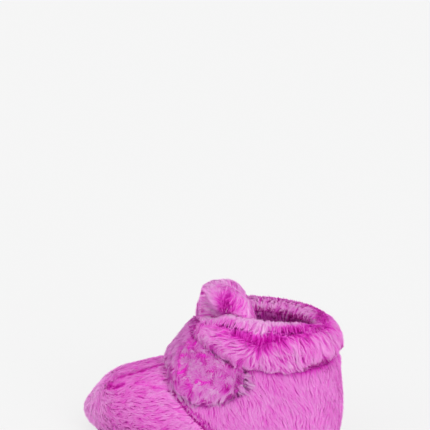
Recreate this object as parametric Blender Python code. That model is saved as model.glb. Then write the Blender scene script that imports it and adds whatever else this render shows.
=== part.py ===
"""A plush bootie slipper for an infant's left foot.

Sizes are in metres. X runs along the foot from toe (-) to heel (+), -Y is the outer side of the
foot and +Z is up. The origin is on the floor under the middle of the shoe.

Every soft piece is worked out from one surface, the outside of the upper. It is a stack of closed
rings. Each ring lies in a plane that leans with the foot, from a point on the front line (up the
toe, along the instep and up the front of the ankle) to a point on the back line of the heel.
"""

import math

import bpy
import bmesh
from mathutils import Vector

# Main sizes of the upper
LENGTH = 0.130
BALL_WIDTH = 0.060
HEEL_WIDTH = 0.052
ANKLE_WIDTH = 0.050
INSTEP_HEIGHT = 0.037
RIM_HEIGHT = 0.057
TOE_TURN = 0.0035
TOE_TURN_FROM = 0.45
WALL = 0.005
CLEARANCE = 0.00035

# Sole and insole. Where the spring and the arch lie along the sole is in shares of LENGTH from
# the middle of the shoe.
SOLE_THICKNESS = 0.0032
SOLE_BORDER = 0.0006
SOLE_EDGE_ROUND = 0.0012
INSOLE_THICKNESS = 0.0028
TOE_SPRING = 0.0020
TOE_SPRING_FROM = 0.36
TOE_SPRING_LENGTH = 0.14
ARCH_LIFT = 0.0006
ARCH_MIDDLE = 0.02
ARCH_REACH = 0.10

# Cuff, tongue and strap
CUFF_ABOVE_RIM = 0.0068
CUFF_THICKNESS = 0.0050
CUFF_INNER_ROLL = 0.0016
TONGUE_RISE = 0.0198
TONGUE_THICKNESS = 0.0060
TONGUE_CROWN = 0.0036
CHIN_ABOVE_RIM = 0.0017
STRAP_THICKNESS = 0.0026
LOCK_DEPTH = 0.0009

# Seams
CENTRE_SEAM_DEPTH = 0.0024
CENTRE_SEAM_REACH = 0.0032
SIDE_SEAM_DEPTH = 0.0013
SIDE_SEAM_REACH = 0.0013
SIDE_SEAM_TAPE = 0.0036
SIDE_SEAM_SECOND = 0.6
BACK_SEAM_DEPTH = 0.0009
BACK_SEAM_REACH = 0.0012
BACK_SEAM_TAPE = 0.0050

# Mesh density
UPPER_COLUMNS = 42
UPPER_ROWS = 20
LINING_ROWS = 11
CUFF_LOCKS = 28
TONGUE_COLUMNS = 30
STRAP_COLUMNS = 26
STRAP_ROWS = 7

# Sections of the foot, from the sole's edge to the throat. Reaches are shares of LENGTH from the
# middle of the shoe, and rises are shares of INSTEP_HEIGHT over the sole. Heel and waist
# half-widths are shares of HEEL_WIDTH, ball and toe half-widths shares of BALL_WIDTH. Round is how
# blunt each end of the ring is.
SECTION_COLUMNS = ("front", "front_rise", "back", "back_rise", "heel", "waist", "ball_out",
                   "ball_in", "toe", "back_round", "front_round")
FOOT_SECTIONS = (
    (-0.472, 0.000, 0.470, 0.000, 0.435, 0.410, 0.444, 0.430, 0.400, 0.64, 0.71),
    (-0.496, 0.095, 0.488, 0.120, 0.480, 0.462, 0.488, 0.474, 0.438, 0.64, 0.71),
    (-0.504, 0.230, 0.497, 0.310, 0.500, 0.492, 0.500, 0.488, 0.448, 0.64, 0.71),
    (-0.491, 0.425, 0.500, 0.470, 0.507, 0.508, 0.492, 0.482, 0.438, 0.64, 0.71),
    (-0.452, 0.612, 0.500, 0.607, 0.507, 0.512, 0.474, 0.464, 0.422, 0.65, 0.73),
    (-0.394, 0.750, 0.498, 0.715, 0.504, 0.511, 0.450, 0.442, 0.404, 0.66, 0.75),
    (-0.318, 0.855, 0.495, 0.828, 0.500, 0.508, 0.426, 0.420, 0.384, 0.67, 0.77),
    (-0.245, 0.935, 0.492, 0.937, 0.496, 0.504, 0.410, 0.405, 0.366, 0.68, 0.79),
    (-0.190, 1.005, 0.489, 1.045, 0.490, 0.498, 0.400, 0.396, 0.354, 0.70, 0.81),
)

# Sections of the ankle, over the throat. Rises are shares of the way from the throat to the rim,
# and all half-widths are shares of ANKLE_WIDTH.
ANKLE_SECTIONS = (
    (-0.154, 0.28, 0.483, 0.33, 0.500, 0.512, 0.472, 0.470, 0.420, 0.72, 0.83),
    (-0.108, 0.68, 0.468, 0.62, 0.492, 0.506, 0.466, 0.464, 0.420, 0.74, 0.84),
    (-0.060, 1.12, 0.446, 0.90, 0.486, 0.500, 0.464, 0.462, 0.420, 0.76, 0.84),
)

# Sections inside the cuff, over the rim. Rises are shares of CUFF_ABOVE_RIM.
CUFF_SECTIONS = (
    (-0.054, 0.50, 0.438, 0.50, 0.482, 0.496, 0.462, 0.460, 0.420, 0.76, 0.84),
    (-0.050, 1.00, 0.430, 1.00, 0.476, 0.490, 0.458, 0.456, 0.420, 0.76, 0.84),
)

# Where the heel, waist, ball and toe half-widths lie, as shares of the way from heel to toe.
STATIONS = (0.0, 0.38, 0.68, 1.0)

# Section rows, counted from the sole's edge, and how many of them follow the sole's lift.
LIFTED_ROWS = 2
SEAM_FREE_ROWS = 1.2
THROAT_ROW = len(FOOT_SECTIONS) - 1
RIM_ROW = THROAT_ROW + len(ANKLE_SECTIONS)
CREST_ROW = RIM_ROW + len(CUFF_SECTIONS)

# Half of the cuff, from its front end to the middle of the heel. Turn is in degrees round the
# ring from the front line, lip is the section row of its lower edge, and full is its plumpness.
CUFF_BAND = (
    (30, 10.70, 0.58),
    (42, 10.55, 0.86),
    (58, 10.32, 1.00),
    (75, 9.82, 1.00),
    (92, 9.34, 1.00),
    (120, 9.12, 1.02),
    (150, 9.32, 0.96),
    (180, 9.70, 0.86),
)

# The cuff's outer face from lip to crest. Along is -1 at the lip, 0 at the rim and 1 at the
# crest, and out is a share of CUFF_THICKNESS.
CUFF_FACE = ((-1.06, 0.42), (-0.84, 0.84), (-0.42, 1.04), (0.05, 1.06), (0.55, 0.84), (0.92, 0.40))

# The cuff's inner face from crest to rim. In is a share of the wall and the inner roll together.
CUFF_INNER_FACE = ((1.00, 0.35), (0.72, 0.84), (0.30, 1.00))

# How far a slack stretch of the cuff sinks, how much longer the locks hang than the partings
# between them, and how its two ends are rounded off, as shares of its own sizes.
CUFF_SLACK = 0.45
CUFF_LOCK_HANG = 0.10
CUFF_END_SHRINK = 0.35
CUFF_END_REACH = 0.25

# The closing strap by its turn in degrees from the front line, the outer side positive. Low and
# high are the section rows of its edges.
STRAP_EDGES = (
    (-72, 5.90, 9.62),
    (-59, 6.30, 10.02),
    (-44, 7.10, 10.32),
    (-29, 8.00, 10.48),
    (0, 8.30, 10.92),
    (29, 8.00, 10.48),
    (44, 7.00, 10.32),
    (59, 6.00, 10.02),
    (72, 5.05, 9.62),
    (84, 4.30, 9.25),
    (102, 4.10, 8.90),
)

# Turn of the strap's outer end, from its low edge (0) to its high edge (1).
STRAP_END = ((0.0, 89.0), (0.16, 97.0), (0.42, 101.0), (0.72, 98.5), (1.0, 91.0))
STRAP_START = -72.0

# The strap's edges thin to a share of its thickness, over a share of its width.
STRAP_EDGE_THIN = 0.5
STRAP_EDGE_REACH = 0.12

# The tongue by its turn in degrees. Crest is a share of TONGUE_RISE over the rim, and lean is how
# far its crown leans out over the front, as a share of WALL. Its chin lies over the rim in front.
TONGUE_BAND = (
    (-64, 0.48, 0.0),
    (-56, 0.70, 0.1),
    (-44, 0.86, 0.2),
    (-26, 0.94, 0.4),
    (0, 0.98, 0.5),
    (26, 1.02, 0.5),
    (44, 1.04, 0.4),
    (60, 1.00, 0.3),
    (74, 0.84, 0.1),
    (88, 0.50, 0.0),
)
TONGUE_FOOT_ROW = 8.9
TONGUE_FOOT_SHARE = 0.6
TONGUE_CHIN = 1.05

# The tongue's crown from the front face over the top to the back face. Up runs from the cuff's
# top (0) to the crest (1), back from the front face (0) to the back face (1), lean is a share of
# the crown's lean and bulge a share of TONGUE_CROWN, outwards.
TONGUE_CROWN_FACE = (
    (0.45, 0.00, 1.00, 0.60),
    (0.86, 0.00, 1.00, 0.20),
    (1.00, 0.45, 0.80, 0.00),
    (0.86, 1.00, 0.60, -0.10),
    (0.45, 1.00, 0.35, -0.40),
)

# Where the cuff's ends close on the tongue, in degrees, and over how many degrees they do.
CUFF_MEETS_TONGUE = 18
CUFF_MEETS_OVER = 8

# Thickness of the tongue's last stations towards each end, as shares.
TONGUE_ENDS = (0.55, 0.85, 1.0)

# The side seam crosses the foot on a plane that leans back at 45 degrees through the throat.
SEAM_PLANE = Vector((1, 0, 1)).normalized()
SEAM_BEHIND_THROAT = 0.0002


def lerp(a, b, t):
    """Straight blend of two values."""
    return a + (b - a) * t


def smooth(t):
    """Ease from 0 to 1."""
    t = max(0.0, min(1.0, t))
    return t * t * (3 - 2 * t)


def hollow(distance, reach):
    """Depth of a soft trough at a distance from its line, 1 on the line."""
    return math.exp(-((distance / reach) ** 2))


def curve_through(values, t):
    """Smooth curve through equally spaced values, read at t."""
    last = len(values) - 1
    i = max(0, min(last - 1, int(math.floor(t))))
    f = t - i
    b = values[i]
    c = values[i + 1]
    a = values[i - 1] if i > 0 else 2 * b - c
    d = values[i + 2] if i + 2 <= last else 2 * c - b
    linear = (c - a) * f
    square = (2 * a - 5 * b + 4 * c - d) * f * f
    cube = (3 * b - a - 3 * c + d) * f ** 3
    return b + 0.5 * (linear + square + cube)


def read_table(table, key):
    """The columns after the first, blended between the rows on either side of key."""
    if key <= table[0][0]:
        return table[0][1:]
    for low, high in zip(table, table[1:]):
        if key <= high[0]:
            t = (key - low[0]) / (high[0] - low[0])
            return tuple(lerp(a, b, 0.5 * (t + smooth(t))) for a, b in zip(low[1:], high[1:]))
    return table[-1][1:]


def sized_sections():
    """The section tables as real lengths, one dictionary a row."""
    sole_top = SOLE_THICKNESS + CLEARANCE
    rows = []
    for values in FOOT_SECTIONS:
        row = dict(zip(SECTION_COLUMNS, values))
        for name in ("front_rise", "back_rise"):
            row[name] = sole_top + row[name] * INSTEP_HEIGHT
        for name in ("heel", "waist"):
            row[name] *= HEEL_WIDTH
        for name in ("ball_out", "ball_in", "toe"):
            row[name] *= BALL_WIDTH
        rows.append(row)
    for values in ANKLE_SECTIONS + CUFF_SECTIONS:
        row = dict(zip(SECTION_COLUMNS, values))
        for name in ("front_rise", "back_rise"):
            if values in CUFF_SECTIONS:
                row[name] = rows[RIM_ROW][name] + row[name] * CUFF_ABOVE_RIM
            else:
                row[name] = sole_top + lerp(INSTEP_HEIGHT, RIM_HEIGHT, row[name])
        for name in ("heel", "waist", "ball_out", "ball_in", "toe"):
            row[name] *= ANKLE_WIDTH
        rows.append(row)
    for row in rows:
        row["front"] *= LENGTH
        row["back"] *= LENGTH
    return rows


SECTIONS = sized_sections()


def half_width(ring, along, side):
    """Half-width at a share of the way from heel to toe, on the outer (-1) or inner (1) side."""
    ball = ring["ball_out"] if side < 0 else ring["ball_in"]
    widths = (ring["heel"], ring["waist"], ball, ring["toe"])
    i = sum(along > place for place in STATIONS[1:3])
    t = (along - STATIONS[i]) / (STATIONS[i + 1] - STATIONS[i])
    return curve_through(widths, i + t)


def sole_lift(x):
    """How far the sole lifts off the floor: toe spring, and a faint arch under the waist."""
    along = x / LENGTH
    spring = TOE_SPRING * max(0.0, (-TOE_SPRING_FROM - along) / TOE_SPRING_LENGTH) ** 2
    return spring + ARCH_LIFT * smooth(1 - abs(along - ARCH_MIDDLE) / ARCH_REACH)


def outside(row, turn):
    """Point on the upper's outside at a section row and a turn from the front line.

    The turn is in degrees, positive on the outer side of the foot, and 180 at the heel.
    """
    if turn > 180:
        turn -= 360
    ring = {name: curve_through([s[name] for s in SECTIONS], row) for name in SECTION_COLUMNS}
    angle = math.radians(180 - abs(turn))
    along = (1 - math.cos(angle)) / 2
    side = -1 if turn > 0 else 1
    blunt = lerp(ring["back_round"], ring["front_round"], along)
    width = half_width(ring, along, side) * max(0.0, math.sin(angle)) ** blunt
    x = lerp(ring["back"], ring["front"], along)
    z = lerp(ring["back_rise"], ring["front_rise"], along)
    lowness = max(0.0, 1 - row / THROAT_ROW) ** 0.5
    toe_turn = TOE_TURN * smooth((along - TOE_TURN_FROM) / (1 - TOE_TURN_FROM)) * lowness
    lift = sole_lift(x) * max(0.0, 1 - row / LIFTED_ROWS)
    return Vector((x, side * width + toe_turn, z + lift))


def centre_line(row):
    """How far sideways the front line lies at a section row."""
    return outside(row, 0).y


def outward(row, turn):
    """Unit normal of the upper's outside."""
    row_step = 0.05
    turn_step = 1.2
    across = outside(row, turn + turn_step) - outside(row, turn - turn_step)
    up = outside(row + row_step, turn) - outside(max(row - row_step, 0), turn)
    return across.cross(up).normalized()


def sideways(row, turn):
    """Unit normal of the upper's outside, kept level."""
    normal = outward(row, turn)
    normal.z = 0
    return normal.normalized()


def off_surface(row, turn, out):
    """Point a distance outside the upper, straight off its surface."""
    return outside(row, turn) + outward(row, turn) * out


def lining(row, turn, depth=WALL):
    """Point inside the upper's wall at a depth, which is level with the outside at both edges."""
    slope = smooth(row / LIFTED_ROWS) * (1 - smooth(row - RIM_ROW + 1))
    normal = (sideways(row, turn) * (1 - slope) + outward(row, turn) * slope).normalized()
    point = outside(row, turn) - normal * depth
    if row < 1:
        level = SOLE_THICKNESS + CLEARANCE + sole_lift(point.x)
        point.z = lerp(level, point.z, smooth(row))
    return point


def ring_turns(count, extra):
    """Turns round a whole ring, closer at toe and heel, with extra ones by the seams."""
    half = [i / (count // 2) for i in range(count // 2 + 1)]
    turns = {round(90 * (t + smooth(t)), 4) for t in half}
    turns |= set(extra)
    both = sorted(turns | {-t for t in turns})
    return [t for t in both if t > -180]


def new_material(name, color, roughness):
    """Principled material for one piece."""
    material = bpy.data.materials.new(name)
    material.use_nodes = True
    shader = material.node_tree.nodes["Principled BSDF"]
    shader.inputs["Base Color"].default_value = (*color, 1)
    shader.inputs["Roughness"].default_value = roughness
    shader.inputs["Metallic"].default_value = 0
    return material


def finish_object(name, bm, material):
    """Turn a bmesh into a named object, its faces as triangles that point outwards."""
    bmesh.ops.triangulate(bm, faces=bm.faces[:], quad_method="BEAUTY", ngon_method="BEAUTY")
    bmesh.ops.recalc_face_normals(bm, faces=bm.faces[:])
    mesh = bpy.data.meshes.new(name)
    bm.to_mesh(mesh)
    bm.free()
    mesh.shade_smooth()
    mesh.set_sharp_from_angle(angle=math.radians(50))
    mesh.materials.append(material)
    obj = bpy.data.objects.new(name, mesh)
    bpy.context.collection.objects.link(obj)
    return obj


def join_loops(bm, loops, closed):
    """Faces between neighbouring loops of vertices. Each loop closes on itself."""
    pairs = list(zip(loops, loops[1:]))
    if closed:
        pairs.append((loops[-1], loops[0]))
    faces = []
    for one, other in pairs:
        for i in range(len(one)):
            j = (i + 1) % len(one)
            faces.append(bm.faces.new((one[i], one[j], other[j], other[i])))
    return faces


def tube_object(name, stations, material):
    """A solid through closed cross-sections, with rounded-off flat ends."""
    bm = bmesh.new()
    loops = [[bm.verts.new(point) for point in station] for station in stations]
    join_loops(bm, loops, closed=False)
    bm.faces.new(loops[0])
    bm.faces.new(loops[-1])
    return finish_object(name, bm, material)


def end_cap(station, neighbour, shrink, reach):
    """A smaller cross-section a little beyond the end of a tube, so that its end is rounded."""
    middle = sum(station, Vector()) / len(station)
    away = (middle - sum(neighbour, Vector()) / len(neighbour)).normalized()
    return [point.lerp(middle, shrink) + away * reach for point in station]


def lock(turn, count, span):
    """Height of the pile's locks along a band: 0 in the parting between two, 1 on the crown."""
    phase = (turn / span * count) % 1.0
    return 1 - abs(2 * phase - 1)


def seam_distance(point):
    """Distance behind the side seam's line, along the foot."""
    throat = outside(THROAT_ROW, 0)
    return (point - throat).dot(SEAM_PLANE) - SEAM_BEHIND_THROAT


def seam_hollow(point, off_centre, lowness):
    """How deep the upper's seams pull the outside in at a point."""
    side = seam_distance(point)
    depth = SIDE_SEAM_DEPTH * hollow(side, SIDE_SEAM_REACH)
    depth += SIDE_SEAM_SECOND * SIDE_SEAM_DEPTH * hollow(side - SIDE_SEAM_TAPE, SIDE_SEAM_REACH)
    if side < 0:
        depth += CENTRE_SEAM_DEPTH * hollow(off_centre, CENTRE_SEAM_REACH) * smooth(lowness)
    if point.x > LENGTH / 3:
        edge = abs(abs(point.y) - BACK_SEAM_TAPE / 2)
        depth += BACK_SEAM_DEPTH * hollow(edge, BACK_SEAM_REACH)
    return depth


def build_upper(material):
    """The hollow upper: vamp, quarters and ankle in one wall, open at the rim and underneath."""
    near_centre = (1.4, 4.6)
    near_heel = (177.4, 179.0)
    turns = ring_turns(UPPER_COLUMNS, near_centre + near_heel)
    bm = bmesh.new()
    off_centre = bm.verts.layers.float.new("off_centre")
    height_row = bm.verts.layers.float.new("height_row")
    shell = bm.faces.layers.int.new("shell")
    outer = []
    for i in range(UPPER_ROWS + 1):
        row = RIM_ROW * i / UPPER_ROWS
        loop = []
        for turn in turns:
            vert = bm.verts.new(outside(row, turn))
            vert[off_centre] = vert.co.y - centre_line(row)
            vert[height_row] = row
            loop.append(vert)
        outer.append(loop)
    inner = []
    for i in range(LINING_ROWS + 1):
        row = RIM_ROW * (1 - i / LINING_ROWS)
        inner.append([bm.verts.new(lining(row, turn)) for turn in turns])
    for face in join_loops(bm, outer, closed=False):
        face[shell] = 1
    join_loops(bm, [outer[-1]] + inner + [outer[0]], closed=False)
    bmesh.ops.recalc_face_normals(bm, faces=bm.faces[:])

    throat = outside(THROAT_ROW, 0) + SEAM_PLANE * SEAM_BEHIND_THROAT
    cuts = (-2.0 * SIDE_SEAM_REACH, -SIDE_SEAM_REACH, 0.0, SIDE_SEAM_REACH, SIDE_SEAM_TAPE,
            SIDE_SEAM_TAPE + SIDE_SEAM_REACH)
    for cut in cuts:
        faces = [f for f in bm.faces if f[shell]]
        edges = {e for f in faces for e in f.edges}
        verts = {v for f in faces for v in f.verts}
        bmesh.ops.bisect_plane(bm, geom=faces + list(edges) + list(verts), dist=1e-6,
                               plane_co=throat + SEAM_PLANE * cut, plane_no=SEAM_PLANE)
    bm.normal_update()
    moves = {}
    for vert in bm.verts:
        if all(f[shell] for f in vert.link_faces):
            depth = seam_hollow(vert.co, vert[off_centre], vert[height_row] - SEAM_FREE_ROWS)
            moves[vert] = vert.normal * -depth
    for vert, move in moves.items():
        vert.co += move
    return finish_object("upper", bm, material)


def build_flat_sole(name, outline, levels, material):
    """A flat piece inside an outline of the foot, through rings of (inset, height)."""
    half = len(outline) // 2
    bm = bmesh.new()
    loops = []
    for inset, height in levels:
        loop = []
        for point, normal in outline:
            place = point - normal * inset
            loop.append(bm.verts.new((place.x, place.y, height + sole_lift(place.x))))
        loops.append(loop)
    join_loops(bm, loops, closed=False)
    count = len(outline)
    for loop in (loops[0], loops[-1]):
        for i in range(half):
            corners = [loop[i], loop[i + 1], loop[(count - i - 1) % count], loop[-i]]
            whole = list(dict.fromkeys(corners))
            bm.faces.new(whole)
    return finish_object(name, bm, material)


def sole_outline(point_at):
    """Points round the sole's outline with their level normals, starting at the toe."""
    turns = ring_turns(UPPER_COLUMNS, ())
    front = turns.index(0)
    return [(point_at(0, t), sideways(0, t)) for t in turns[front:] + turns[:front]]


def build_outsole(material):
    """The soft flat sole, a little proud of the upper's edge, with a rounded lower edge."""
    levels = ((SOLE_EDGE_ROUND, 0.0), (0.3 * SOLE_EDGE_ROUND, 0.35 * SOLE_EDGE_ROUND),
              (0.0, SOLE_EDGE_ROUND), (0.0, SOLE_THICKNESS))
    outline = [(point + normal * SOLE_BORDER, normal) for point, normal in sole_outline(outside)]
    return build_flat_sole("outsole", outline, levels, material)


def build_insole(material):
    """The footbed that lies on the sole inside the upper's wall."""
    bottom = SOLE_THICKNESS + CLEARANCE
    top = bottom + INSOLE_THICKNESS
    edge = 0.25 * INSOLE_THICKNESS
    levels = ((CLEARANCE, bottom), (CLEARANCE, top - edge), (CLEARANCE + edge, top))
    return build_flat_sole("insole", sole_outline(lining), levels, material)


def cuff_station(turn):
    """Cross-section of the cuff at a turn: over the rim, and down the outside to its lip."""
    lip, full = read_table(CUFF_BAND, abs(turn))
    wave = lock(turn, CUFF_LOCKS, 360)
    proud = CUFF_THICKNESS * full - LOCK_DEPTH * (1 - wave)
    hang = 1 + CUFF_LOCK_HANG * (wave - 0.5)
    stands = 1 - CUFF_SLACK * (1 - full)
    inside = WALL + CUFF_INNER_ROLL * full
    points = [off_surface(lip, turn, CLEARANCE)]
    for along, out in CUFF_FACE:
        if along < 0:
            row = lerp(RIM_ROW, lip, -along * (hang if along < -1 else 1))
        else:
            row = lerp(RIM_ROW, CREST_ROW, along * stands)
        points.append(outside(row, turn) + sideways(row, turn) * (CLEARANCE + proud * out))
    for along, into in CUFF_INNER_FACE:
        row = lerp(RIM_ROW, CREST_ROW, along * stands)
        points.append(outside(row, turn) - sideways(row, turn) * inside * into)
    rim = outside(RIM_ROW, turn) + Vector((0, 0, CLEARANCE))
    points.append(rim - sideways(RIM_ROW, turn) * inside)
    points.append(rim + sideways(RIM_ROW, turn) * CLEARANCE)
    middle_row = lerp(RIM_ROW, lip, 0.5)
    points.append(off_surface(middle_row, turn, CLEARANCE))
    return points


def build_cuff(material):
    """The rolled plush cuff, a horseshoe open at the front, its pile in locks."""
    front = CUFF_BAND[0][0]
    stations_per_lock = 3
    count = int((360 - 2 * front) / 360 * CUFF_LOCKS * stations_per_lock)
    turns = [lerp(front, 360 - front, i / count) for i in range(count + 1)]
    stations = [cuff_station(t if t <= 180 else t - 360) for t in turns]
    reach = CUFF_END_REACH * CUFF_THICKNESS
    first = end_cap(stations[0], stations[1], CUFF_END_SHRINK, reach)
    last = end_cap(stations[-1], stations[-2], CUFF_END_SHRINK, reach)
    return tube_object("cuff", [first] + stations + [last], material)


def tongue_station(turn, shrink, ruffle):
    """Cross-section of the tongue at a turn: up inside the wall, over the crown and down."""
    crest, lean = read_table(TONGUE_BAND, turn)
    beside_cuff = smooth((abs(turn) - CUFF_MEETS_TONGUE) / CUFF_MEETS_OVER)
    face = WALL + CLEARANCE + (CUFF_INNER_ROLL + CLEARANCE) * beside_cuff
    thick = TONGUE_THICKNESS * shrink
    back = face + thick
    rim = outside(RIM_ROW, turn)
    level = sideways(RIM_ROW, turn)
    cuff_top = CUFF_ABOVE_RIM + 3 * CLEARANCE
    rise = TONGUE_RISE * crest + LOCK_DEPTH * ruffle
    chin = WALL * TONGUE_CHIN * (1 - beside_cuff) - face

    def above(height, out):
        return rim + level * out + Vector((0, 0, height))

    wall_face = WALL + CLEARANCE
    foot_back = wall_face + thick * TONGUE_FOOT_SHARE
    mid_row = lerp(TONGUE_FOOT_ROW, RIM_ROW, 0.5)
    points = [
        lining(TONGUE_FOOT_ROW, turn, wall_face),
        lining(mid_row, turn, wall_face),
        lining(RIM_ROW, turn, face),
        above(CHIN_ABOVE_RIM, chin),
        above(cuff_top, chin),
    ]
    for up, behind, leaning, bulge in TONGUE_CROWN_FACE:
        out = WALL * lean * leaning + TONGUE_CROWN * shrink * bulge - face - thick * behind
        points.append(above(lerp(cuff_top, rise, up), out))
    points.append(above(cuff_top / 3, -back))
    points.append(lining(mid_row, turn, lerp(foot_back, back, 0.5)))
    points.append(lining(TONGUE_FOOT_ROW, turn, foot_back))
    return points


def build_tongue(material):
    """The padded tongue, curved round the front of the ankle, with a crown over the rim."""
    start = TONGUE_BAND[0][0]
    end = TONGUE_BAND[-1][0]
    turns = [lerp(start, end, i / TONGUE_COLUMNS) for i in range(TONGUE_COLUMNS + 1)]
    stations = []
    for i, turn in enumerate(turns):
        from_end = min(i, TONGUE_COLUMNS - i, len(TONGUE_ENDS) - 1)
        ruffle = 0.5 if i % 2 else -0.5
        stations.append(tongue_station(turn, TONGUE_ENDS[from_end], ruffle))
    return tube_object("tongue", stations, material)


def build_strap(material):
    """The closing strap: from the inner side over the front to a rounded end on the outer side."""
    stations = []
    for i in range(STRAP_COLUMNS + 1):
        share = i / STRAP_COLUMNS
        under = []
        over = []
        for j in range(STRAP_ROWS + 1):
            across = j / STRAP_ROWS
            end, = read_table(STRAP_END, across)
            turn = lerp(STRAP_START, end, share)
            low, high = read_table(STRAP_EDGES, turn)
            row = lerp(low, high, across)
            from_edge = min(across, 1 - across, 0.5 * share, 0.5 * (1 - share))
            plump = lerp(STRAP_EDGE_THIN, 1, smooth(from_edge / STRAP_EDGE_REACH))
            under.append(off_surface(row, turn, CLEARANCE))
            over.append(off_surface(row, turn, CLEARANCE + STRAP_THICKNESS * plump))
        stations.append(under + over[::-1])
    return tube_object("strap", stations, material)


def clear_scene():
    """Remove what a new Blender file starts with."""
    for obj in list(bpy.data.objects):
        bpy.data.objects.remove(obj, do_unlink=True)


def main():
    """Model each piece with its own material."""
    clear_scene()
    build_outsole(new_material("sole_fabric", (0.55, 0.10, 0.42), 0.90))
    build_insole(new_material("footbed_plush", (0.62, 0.14, 0.50), 0.95))
    build_upper(new_material("upper_plush", (0.78, 0.20, 0.66), 0.95))
    build_cuff(new_material("cuff_plush", (0.80, 0.22, 0.68), 0.95))
    build_tongue(new_material("tongue_plush", (0.80, 0.22, 0.68), 0.95))
    build_strap(new_material("strap_plush", (0.76, 0.18, 0.63), 0.95))


main()
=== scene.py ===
"""Looks of a plush bootie slipper for an infant's left foot, laid out as an add-on.

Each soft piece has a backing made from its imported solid, and a pile that grows out of the backing
as curved wisps gathered into locks. Tables hold millimetres in the shoe's own frame: -X to the
toe, -Y to the outer side of the foot, +Z up.
"""

import math
from functools import cache
from typing import NamedTuple

import bpy
import numpy as np
from bpy.props import FloatProperty, FloatVectorProperty, PointerProperty
from bpy.types import Operator, Panel, PropertyGroup
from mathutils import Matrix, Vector
from mathutils.bvhtree import BVHTree
from mathutils.kdtree import KDTree


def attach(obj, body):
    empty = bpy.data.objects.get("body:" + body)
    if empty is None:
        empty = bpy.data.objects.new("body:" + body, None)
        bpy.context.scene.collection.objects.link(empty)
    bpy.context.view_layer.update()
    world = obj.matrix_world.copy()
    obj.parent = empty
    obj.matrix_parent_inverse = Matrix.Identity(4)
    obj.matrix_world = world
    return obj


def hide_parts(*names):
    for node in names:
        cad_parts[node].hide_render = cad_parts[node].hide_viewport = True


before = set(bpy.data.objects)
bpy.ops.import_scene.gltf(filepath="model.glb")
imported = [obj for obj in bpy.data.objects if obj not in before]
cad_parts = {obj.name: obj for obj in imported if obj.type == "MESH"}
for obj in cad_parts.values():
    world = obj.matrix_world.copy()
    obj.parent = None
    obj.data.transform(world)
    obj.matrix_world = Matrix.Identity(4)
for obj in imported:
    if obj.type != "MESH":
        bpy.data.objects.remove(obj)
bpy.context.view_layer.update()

bl_info = {
    "name": "Plush Bootie",
    "version": (1, 0, 0),
    "blender": (4, 5, 0),
    "location": "View3D > Sidebar > Bootie",
    "description": "Backing, pile, sole and studio of a plush bootie slipper",
    "category": "Object",
}

MM = 0.001

# A wisp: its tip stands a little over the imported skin, and it lies forward of its root by most of
# its run. The foot keeps to a share of a thin edge, and the tip to a share of the pile's depth.
TIP_TOP = 0.15 * MM
TIP_LOWEST = 0.7
FOOT_ROOM = 0.45
FORWARD = 0.65
MIDDLE_UP = 0.72
MIDDLE_PULL = 0.45
FLOOR_GAP = 0.3 * MM

# How wisps differ from each other. Strays stand up out of their lock.
FRAY = 0.05
FUZZ = 0.20 * MM
LENGTH_SPREAD = 0.10
SHADE_SPREAD = 0.07
STRAYS = 0.10
STRAY_TOP = 0.45 * MM

# A skin's points closer than this are one. Pile is left off where another solid lies this close.
SAME_POINT = 0.01 * MM
COVERED = 1.4 * MM
ACROSS_SHOE = 200 * MM

# The side seam crosses the foot on a plane that leans back at 45 degrees through the throat.
THROAT = (-24.7, 0.7, 40.7)
SEAM_LEAN = (0.7071, 0.0, 0.7071)
SEAM_AT = 0.1
SEAM_TAPE = 3.6
BACK_SEAM_HALF = 2.5

# Partings and creases of the pile. A crease has a depth from 0 to 1, a reach and its points.
CUFF_PARTING = (
    (0, -17, 66.5), (6.4, -21.9, 67.0), (14, -25.3, 66.2), (21, -28, 64.6), (30.2, -29.6, 61.9),
    (38.6, -26.8, 64.0), (49.7, -19.4, 65.0), (57.5, 0, 64.4), (49.7, 19.4, 65.0),
    (34, 27.5, 64.0), (14, 25.3, 66.2), (0, 17, 66.5),
)
CUFF_STROKES = (
    ((27, -29, 63), (16, -26, 66)), ((16, -26, 66), (4, -20, 68)), ((27, -30, 62), (15, -28, 61)),
    ((15, -28, 61), (3, -23, 61)), ((27, -30, 60), (18, -29, 53)), ((30, -30, 59), (27, -29, 52)),
    ((33, -29, 62), (40, -28, 53)), ((38, -28, 63), (46, -26, 52)), ((45, -25, 63), (53, -23, 52)),
    ((52, -19, 63), (57, -20, 52)), ((58, -10, 64), (62, -13, 55)), ((11, -27, 56), (15, -27, 52)),
    ((0, -21, 60), (4, -20, 54)), ((6, -21, 54), (12, -25, 50)),
)
TONGUE_WHORL = (10.8, -15.5, 75.5)
TONGUE_STROKES = (
    ((8, -16, 77), (-3, -8, 80)), ((9, -15, 78), (2, 2, 81)), ((13, -17, 77), (12, 10, 75)),
    ((14, -17, 75), (20, -13, 76)), ((8, -13, 72), (-3, -7, 67)), ((11, -15, 72), (15, -15, 67)),
    ((2, -8, 71), (-5, -7, 72)),
)
VAMP_CREASES = (
    (0.80, 1.6, ((-27, -5, 39), (-36, -8, 36), (-47, -9, 31.5), (-52, -11, 27))),
    (0.80, 1.3, ((-53, -10, 27), (-48.6, -13.7, 27.1), (-44, -14.5, 29.5))),
    (0.65, 1.1, ((-38, -15.5, 31.5), (-33, -16.5, 32.5))),
    (0.60, 0.9, ((-29, -20, 31.5), (-22.5, -21.5, 32.0))),
    (0.35, 1.2, ((-49, 13.5, 27.5), (-38, 16.5, 31.5), (-28, 20.5, 31.0))),
)
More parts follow.
